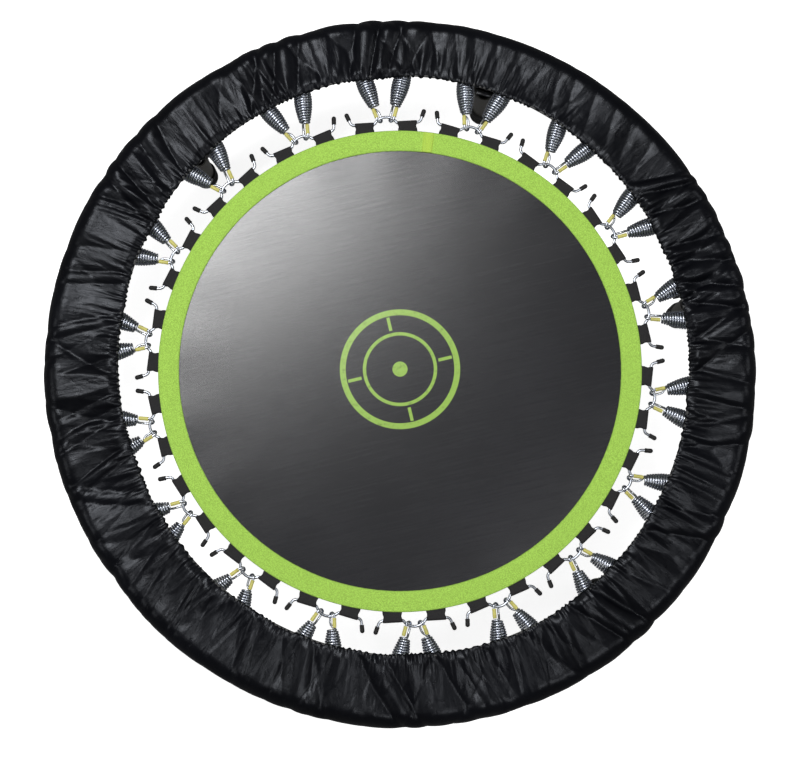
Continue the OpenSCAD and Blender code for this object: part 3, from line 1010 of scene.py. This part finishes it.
def cover_profile():
    """The cover's section as (distance from the axis, height) rows, hem to hem, with outward normals."""
    s = settings().cover
    round_r = node_heights("skirt")[1] - RING_Z - s.cloth_t
    roll = CORD_R + 0.5 * MM
    hem = np.array([HEM_R + s.hem_open, HEM_Z])
    lower = np.array([LOWER_HEM_R, LOWER_HEM_Z])
    end_a = math.atan2(LOWER_HEM_Z - RING_Z, LOWER_HEM_R - RING_R)
    rolled = [hem + roll * np.array([math.cos(a), math.sin(a)]) for a in np.radians([330, 270, 210, 150, 90])]
    top = np.array([RING_R, RING_Z + round_r])
    flat = [hem + [0, roll] + (top - hem - [0, roll]) * u for u in np.linspace(0, 1, 19)[1:-1]]
    ring = [
        np.array([RING_R, RING_Z]) + round_r * np.array([math.cos(a), math.sin(a)])
        for a in np.linspace(math.pi / 2, end_a + 0.1, 17)
    ]
    under = [
        lower + roll * np.array([math.cos(a), math.sin(a)])
        for a in np.linspace(end_a, end_a - math.radians(240), 5)
    ]
    points = np.array(rolled + flat + ring + under)
    step = np.gradient(points, axis=0)
    normal = np.column_stack([-step[:, 1], step[:, 0]])
    normal /= np.linalg.norm(normal, axis=1)[:, None]
    run = np.concatenate([[0], np.cumsum(np.linalg.norm(np.diff(points, axis=0), axis=1))])
    return points, normal, run, len(rolled), len(under)


def pleats(rng, count, spread):
    """A phase that runs through count uneven pleats in one turn."""
    widths = rng.lognormal(0, spread, count)
    edges = np.concatenate([[0], np.cumsum(widths)])
    edges *= math.tau / edges[-1]
    return lambda turns: np.interp(np.mod(turns, math.tau), edges, np.arange(count + 1)) * math.pi


def wander(rng, count, low, high):
    """A smooth random value round the turn, repeating after one turn."""
    knots = rng.uniform(low, high, count)
    knots = np.append(knots, knots[0])

    def value(turns):
        place = np.mod(turns, math.tau) / math.tau * count
        i = np.minimum(place.astype(int), count - 1)
        u = place - i
        u = u * u * (3 - 2 * u)
        return knots[i] * (1 - u) + knots[i + 1] * u

    return value


def hem_pull(turns):
    """How far the inner hem sits outward of its round, towards the side where it is pulled out."""
    s = settings().cover
    return s.hem_shift * np.cos(turns - s.hem_shift_at) + s.hem_oval * np.cos(2 * (turns - s.hem_oval_at))


def cover_grid(columns):
    """The cover before it settles: rows by columns of points, with slanting folds laid in it."""
    s = settings().cover
    points, normal, run, rolled, under = cover_profile()
    turns = np.arange(columns) * math.tau / columns
    rng = np.random.default_rng(11)
    folds = []
    for count, slant, reach, tall in (
        (250, 0.02, 14, 0.8), (130, 0.05, 26, 1.4), (82, -0.08, 50, 1.9), (52, 0.12, 95, 3.3),
        (34, -0.15, 130, 3.6),
    ):
        low, high = sorted((slant * 0.2, slant * 1.7))
        folds.append(
            (pleats(rng, count, 0.45), wander(rng, 31, low, high), wander(rng, count // 2, 0, 1.3), reach, tall)
        )
    broad = wander(rng, 23, -1.0, 1.0)
    start, end = run[rolled - 1], run[-under]
    rows = []
    for p, n, at in zip(points, normal, run):
        from_hem, to_rim = max(0.0, at - start), max(0.0, end - at)
        u = min(1.0, from_hem / (end - start))
        lift = np.zeros(columns)
        amount = min(1.0, from_hem / (9 * MM)) * min(1.0, 0.1 + to_rim / (62 * MM))
        for phase, slant, strength, reach, tall in folds:
            wave = np.sin(phase(turns + slant(turns) * u))
            ridge = 2 * np.abs(wave) ** 0.7 - 1 if reach > 40 else 1 - 2 * np.abs(wave) ** 0.75
            fade = math.exp(-((max(0.0, from_hem - reach * 0.4 * MM) / (reach * 1.6 * MM)) ** 2)) + 0.15
            lift += tall * MM * strength(turns) * ridge * amount * fade
        lift += 1.2 * MM * broad(turns) * math.sin(math.pi * u)
        inner = from_hem / (76 * MM)
        lift -= 2.0 * MM * math.sin(math.pi * min(1.0, inner))
        lift = np.clip(lift, -5.0 * MM, 6.0 * MM)
        outward = hem_pull(turns) * max(0.0, 1 - inner)
        outward += s.rim_oval * np.cos(2 * (turns - s.rim_oval_at)) * min(1.0, inner)
        outward += s.rim_stand * min(1.0, inner) * min(1.0, to_rim / (20 * MM))
        r = p[0] + n[0] * lift * 0.45 + outward
        rows.append(np.column_stack([r * np.cos(turns), r * np.sin(turns), p[1] + n[1] * lift]))
    return np.array(rows)


def collider(name, shape):
    made = piece(name, shape, None)
    made.modifiers.new("collision", "COLLISION")
    made.collision.thickness_outer = 0.4 * MM
    made.collision.cloth_friction = 4
    return made


def settle_cover(grid):
    """Lets the cut cloth settle over the ring and the springs, held by its two hems."""
    s = settings().cover
    rows, columns, _ = grid.shape
    _, _, run, rolled, under = cover_profile()
    cloth = piece("cover_cloth_settling", (grid.reshape(-1, 3), grid_faces(rows, columns)), None)
    cloth.shape_key_add(name="worn")
    flat = cloth.shape_key_add(name="cut")
    turns = np.arange(columns) * math.tau / columns
    cut_r = s.cut_round / math.tau
    stretch = s.cut_across / run[-1]
    cut = np.concatenate(
        [
            np.column_stack([cut_r * np.cos(turns), cut_r * np.sin(turns), np.full(columns, -stretch * a)])
            for a in run
        ]
    )
    flat.data.foreach_set("co", cut.ravel())
    held = cloth.vertex_groups.new(name="held")
    edge = list(range(rolled * columns)) + list(range((rows - under) * columns, rows * columns))
    held.add(edge, 1.0, "REPLACE")

    tube_turns = np.linspace(0, math.tau, 25)[:-1]
    ring_turns = np.linspace(0, math.tau, 181)[:-1]
    reach = RING_R + (TUBE_R + 0.3 * MM) * np.cos(tube_turns)
    height = RING_Z + (TUBE_R + 0.3 * MM) * np.sin(tube_turns)
    tube = np.concatenate(
        [np.column_stack([reach * math.cos(a), reach * math.sin(a), height]) for a in ring_turns]
    )
    shelf_z = RING_Z + settings().spring.middle_d / 2 + 0.4 * MM
    shelf = np.concatenate(
        [
            np.column_stack([r * np.cos(ring_turns), r * np.sin(ring_turns), np.full(180, shelf_z)])
            for r in (RING_R - TUBE_R, HEM_R - 40 * MM)
        ]
    )
    bodies = [
        collider("settling_tube", (tube, grid_faces(180, 24, close_rows=True, flip=True))),
        collider("settling_shelf", (shelf, grid_faces(2, 180))),
    ]
    modifier = cloth.modifiers.new("cloth", "CLOTH")
    setup = modifier.settings
    setup.quality = 4
    setup.mass = 0.0006
    setup.tension_stiffness = setup.compression_stiffness = 12
    setup.shear_stiffness = 4
    setup.bending_stiffness = 0.02
    setup.tension_damping = setup.compression_damping = setup.shear_damping = 8
    setup.air_damping = 3
    setup.vertex_group_mass = "held"
    setup.rest_shape_key = flat
    setup.effector_weights.gravity = 0.6
    modifier.collision_settings.distance_min = 0.6 * MM
    modifier.collision_settings.collision_quality = 2
    scene = bpy.context.scene
    for step in range(1, s.settle_steps + 1):
        scene.frame_set(step)
    worn = cloth.evaluated_get(bpy.context.evaluated_depsgraph_get()).to_mesh()
    settled = np.empty(rows * columns * 3)
    worn.vertices.foreach_get("co", settled)
    cloth.evaluated_get(bpy.context.evaluated_depsgraph_get()).to_mesh_clear()
    scene.frame_set(1)
    for made in bodies + [cloth]:
        mesh = made.data
        bpy.data.objects.remove(made)
        bpy.data.meshes.remove(mesh)
    settled = settled.reshape(grid.shape)
    move = settled - grid
    far = np.linalg.norm(move, axis=2, keepdims=True)
    return grid + move * np.minimum(1.0, s.settle_cap / np.maximum(far, 1e-9))


def finer(grid, columns):
    """The same grid with more columns, on a smooth curve through its points."""
    old = grid.shape[1]
    place = np.arange(columns) * old / columns
    i = place.astype(int)
    u = (place - i)[None, :, None]
    a, b, c, d = (grid[:, (i + k) % old] for k in (-1, 0, 1, 2))
    return b + 0.5 * u * (c - a + u * (2 * a - 5 * b + 4 * c - d + u * (3 * (b - c) + d - a)))


def gathered(grid):
    """Adds the fine pleats that the elastic draws the cloth into, along both hems."""
    _, _, run, rolled, under = cover_profile()
    rows, columns, _ = grid.shape
    rng = np.random.default_rng(23)
    fine, second, rim = pleats(rng, 330, 0.33), pleats(rng, 210, 0.4), pleats(rng, 230, 0.4)
    reach = wander(rng, 230, 3 * MM, 15 * MM)
    tall = wander(rng, 170, 0.4, 1.3)
    rim_tall = wander(rng, 150, 0.1, 1.2)
    scallop = wander(rng, 96, -1.0, 1.0)
    sway = wander(rng, 40, -1.0, 1.0)
    along = np.roll(grid, -1, axis=1) - np.roll(grid, 1, axis=1)
    across = np.gradient(grid, axis=0)
    normal = np.cross(along, across)
    normal /= np.linalg.norm(normal, axis=2, keepdims=True)
    turns = np.arange(columns) * math.tau / columns
    out = np.column_stack([np.cos(turns), np.sin(turns), 0 * turns])
    made = grid.copy()
    for j, at in enumerate(run):
        from_hem, to_rim = max(0.0, at - run[rolled - 1]), max(0.0, run[-under] - at)
        near = np.exp(-from_hem / reach(turns))
        lift = 1.1 * MM * tall(turns) * np.sin(2 * fine(turns) + 0.8 * np.sin(turns * 41)) * near
        lift += 0.45 * MM * np.sin(2 * second(turns)) * math.exp(-from_hem / (20 * MM))
        lift += 0.5 * MM * rim_tall(turns) * np.sin(2 * rim(turns)) * math.exp(-to_rim / (9 * MM))
        made[j] += normal[j] * lift[:, None]
        hem_share = math.exp(-from_hem / (8 * MM))
        shift = (1.6 * scallop(turns) + 1.6 * sway(turns) + 0.6 * np.sin(2 * fine(turns) + 1.1)) * MM * hem_share
        made[j] += out * shift[:, None]
    return made


# ---------------------------------------------------------------- operators


def ride_on(obj, body, slot_name, *nodes):
    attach(obj, body)
    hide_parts(*nodes)
    return obj


class TRAMPOLINE_OT_frame(bpy.types.Operator):
    """Give the steel frame, the legs and their fittings their finishes"""

    bl_idname = "trampoline.finish_frame"
    bl_label = "Frame and legs"

    def execute(self, context):
        c = settings().colours
        coat = powder_coat("frame_coat", c.frame_paint)
        leg_coat = powder_coat("leg_coat", c.leg_paint)
        zinc = wire_zinc("fastener_zinc", c.zinc, 0.32)
        rubber = moulded_rubber()
        braid = elastic_braid()
        finishes = {
            "frame_ring": coat, "spring_lugs": coat, "leg_brackets": coat, "leg_tube": leg_coat,
            "leg_foot": rubber, "hinge": zinc, "pivot_bush": zinc, "skirt_inner_elastic": braid,
            "skirt_outer_elastic": braid,
        }
        for name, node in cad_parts.items():
            for start, finish in finishes.items():
                if name.startswith(start):
                    for slot in node.material_slots:
                        slot.material = finish
        return {"FINISHED"}


class TRAMPOLINE_OT_mat(bpy.types.Operator):
    """Make the jumping mat"""

    bl_idname = "trampoline.add_mat"
    bl_label = "Mat"

    def execute(self, context):
        def ripple(r, turns):
            near = max(0.0, (r - 0.2) / (MAT_R - 0.2)) ** 2
            return 0.22 * MM * near * np.cos(18 * turns) - 0.5 * MM * max(0.0, 1 - (r / 0.3) ** 2)

        rings = list(np.linspace(0.012, MAT_R - 2 * MM, 38)) + [MAT_R - 0.2 * MM]
        shape = disc_shape(
            np.array(rings), 216, lambda r, a: MAT_TOP + ripple(r, a), lambda r, a: MAT_LOW + ripple(r, a)
        )
        mat = ride_on(piece("jumping_mat", shape, mat_weave()), "mat", "mat_weave", "mat_bed")
        return {"FINISHED"}


class TRAMPOLINE_OT_band(bpy.types.Operator):
    """Make the edge band, the lap of its ends and its stitching"""

    bl_idname = "trampoline.add_band"
    bl_label = "Edge band"

    def execute(self, context):
        webbing = band_webbing()
        ride_on(piece("band_ring", band_shape(1440), webbing), "mat", "green_webbing", "edge_band")
        ride_on(piece("band_lap", overlap_shape(), webbing), "mat", "green_webbing", "edge_band")
        ride_on(piece("band_stitches", stitch_rings(), sewing_thread()), "mat", "green_webbing", "edge_band")
        return {"FINISHED"}


class TRAMPOLINE_OT_clips(bpy.types.Operator):
    """Make the wire clips, their rubber caps and the webbing loops that hold them"""

    bl_idname = "trampoline.add_clips"
    bl_label = "Clips and loops"

    def execute(self, context):
        s = settings()
        turns = clip_turns()
        zinc = wire_zinc("clip_zinc", s.colours.steel, 0.24)
        clip = at_height(wire(clip_path(), s.clip.wire_d / 2, 12))
        ride_on(piece("wire_clip_set", around_ring(clip, turns), zinc), "mat", "clip_wire", "wire_clips")
        cap = at_height(cap_shape())
        caps = around_ring(joined([cap, mirrored(cap)]), turns)
        ride_on(piece("clip_cap_set", caps, moulded_rubber()), "mat", "black_rubber", "clip_caps")
        loop = loop_shape()
        pair = joined([(loop[0] + [0, side * s.clip.loop_mid, 0], loop[1]) for side in (-1, 1)])
        loops = around_ring(at_height(pair), turns)
        ride_on(piece("loop_set", loops, loop_webbing()), "mat", "black_webbing", "webbing_loops")
        return {"FINISHED"}


class TRAMPOLINE_OT_springs(bpy.types.Operator):
    """Make the coil springs and the sleeves on their hooks"""

    bl_idname = "trampoline.add_springs"
    bl_label = "Springs"

    def execute(self, context):
        s = settings()
        steel = wire_zinc("spring_zinc", s.colours.steel, 0.2)
        plastic = sleeve_plastic()
        springs = at_height(joined([spring_wire(1), spring_wire(-1)]))
        sleeves = at_height(joined([sleeve_shape(1), sleeve_shape(-1)]))
        mat_end, frame_end = BAND_R + 18 * MM, RING_R - TUBE_R - s.spring.lug_gap
        for k, turn in enumerate(clip_turns(), 1):
            for name, shape, finish, slot_name, node in (
                ("spring_pair", springs, steel, "spring_steel", "springs"),
                ("sleeve_pair", sleeves, plastic, "yellow_sleeve", "hook_sleeves"),
            ):
                made = piece(f"{name}_{k:02d}", (turned(shape[0], turn), shape[1]), finish)
                start = mat_end * direction(turn) + UP * RING_Z
                end = frame_end * direction(turn) + UP * RING_Z
                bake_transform(made)
                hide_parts(node)
        return {"FINISHED"}


class TRAMPOLINE_OT_cover(bpy.types.Operator):
    """Make the gathered cover"""

    bl_idname = "trampoline.add_cover"
    bl_label = "Cover"

    def execute(self, context):
        c = settings().cover
        grid = cover_grid(960)
        grid = settle_cover(grid)
        grid = gathered(finer(grid, 1440))
        shape = (grid.reshape(-1, 3), grid_faces(grid.shape[0], grid.shape[1]))
        cover = piece("gathered_cover", shape, cover_cloth())
        thick = cover.modifiers.new("thickness", "SOLIDIFY")
        thick.thickness = c.cloth_t
        thick.offset = -1
        ride_on(cover, "frame", "skirt_cloth", "skirt")

        turns = np.linspace(0, math.tau, 289)[:-1]
        reach = HEM_R + c.hem_open + hem_pull(turns)
        path = np.column_stack([reach * np.cos(turns), reach * np.sin(turns), np.full(288, HEM_Z)])
        cord = piece("inner_hem_cord", wire_loop(path, CORD_R, 10), elastic_braid())
        ride_on(cord, "frame", "elastic_cord", "skirt_inner_elastic")
        return {"FINISHED"}


class TRAMPOLINE_OT_stage(bpy.types.Operator):
    """Set the floor, the lights and the camera"""

    bl_idname = "trampoline.set_stage"
    bl_label = "Stage"

    def execute(self, context):
        s = settings().stage
        turns = np.linspace(0, math.tau, 97)[:-1]
        disc = np.column_stack([8 * np.cos(turns), 8 * np.sin(turns), 0 * turns - 0.5 * MM])
        floor = piece("studio_floor", (disc, [tuple(range(96))]), floor_paper(), smooth=False)
        floor.visible_glossy = False

        back = direction(s.turn)
        right = direction(s.turn + math.pi / 2)
        aim = Vector(UP * RING_Z + back * s.aim_down + right * s.aim_right)
        reach = back * math.cos(s.elevation) + UP * math.sin(s.elevation)
        camera_data = bpy.data.cameras.new("camera")
        camera_data.lens = s.lens
        camera = bpy.data.objects.new("camera", camera_data)
        camera.location = aim + Vector(reach * s.distance)
        camera.rotation_euler = (aim - camera.location).to_track_quat("-Z", "Y").to_euler()
        bpy.context.scene.collection.objects.link(camera)
        bpy.context.scene.camera = camera

        for name, place, across, watts in (
            ("key", (-0.62, 0.86, 2.7), 0.9, 46.0),
            ("fill", (0.9, -0.8, 2.7), 0.9, 17.0),
            ("side_left", (-2.3, -0.4, 1.7), 1.0, 8.0),
            ("side_right", (2.3, 0.3, 1.7), 1.0, 8.0),
        ):
            lamp = bpy.data.lights.new(name, "AREA")
            lamp.size = across
            lamp.energy = watts
            light = bpy.data.objects.new(name, lamp)
            spot = right * place[0] - back * place[1] + UP * place[2]
            light.location = Vector(spot)
            light.rotation_euler = (Vector((0, 0, RING_Z)) - light.location).to_track_quat("-Z", "Y").to_euler()
            bpy.context.scene.collection.objects.link(light)
        world = bpy.data.worlds.new("studio_air")
        world.use_nodes = True
        sky = world.node_tree.nodes["Background"]
        sky.inputs["Color"].default_value = (1, 1, 1, 1)
        sky.inputs["Strength"].default_value = 0.12
        bpy.context.scene.world = world
        bpy.context.scene.view_settings.view_transform = "Standard"
        return {"FINISHED"}


class TRAMPOLINE_PT_makers(bpy.types.Panel):
    """Lists the makers of the trampoline's pieces"""

    bl_label = "Mini trampoline"
    bl_idname = "TRAMPOLINE_PT_makers"
    bl_space_type = "VIEW_3D"
    bl_region_type = "UI"
    bl_category = "Trampoline"

    def draw(self, context):
        for maker in MAKERS:
            self.layout.operator(maker.bl_idname)


MAKERS = (
    TRAMPOLINE_OT_stage, TRAMPOLINE_OT_frame, TRAMPOLINE_OT_mat, TRAMPOLINE_OT_band,
    TRAMPOLINE_OT_clips, TRAMPOLINE_OT_springs, TRAMPOLINE_OT_cover,
)
GROUPS = (ClipSizes, SpringSizes, MatSizes, CoverSizes, StageSizes, Colours, TrampolineSettings)
CLASSES = GROUPS + MAKERS + (TRAMPOLINE_PT_makers,)


def register():
    for cls in CLASSES:
        bpy.utils.register_class(cls)
    bpy.types.Scene.trampoline = PointerProperty(type=TrampolineSettings)


def unregister():
    del bpy.types.Scene.trampoline
    for cls in reversed(CLASSES):
        bpy.utils.unregister_class(cls)


def main():
    register()
    for maker in MAKERS:
        group, name = maker.bl_idname.split(".")
        getattr(getattr(bpy.ops, group), name)()


if __name__ == "__main__":
    main()
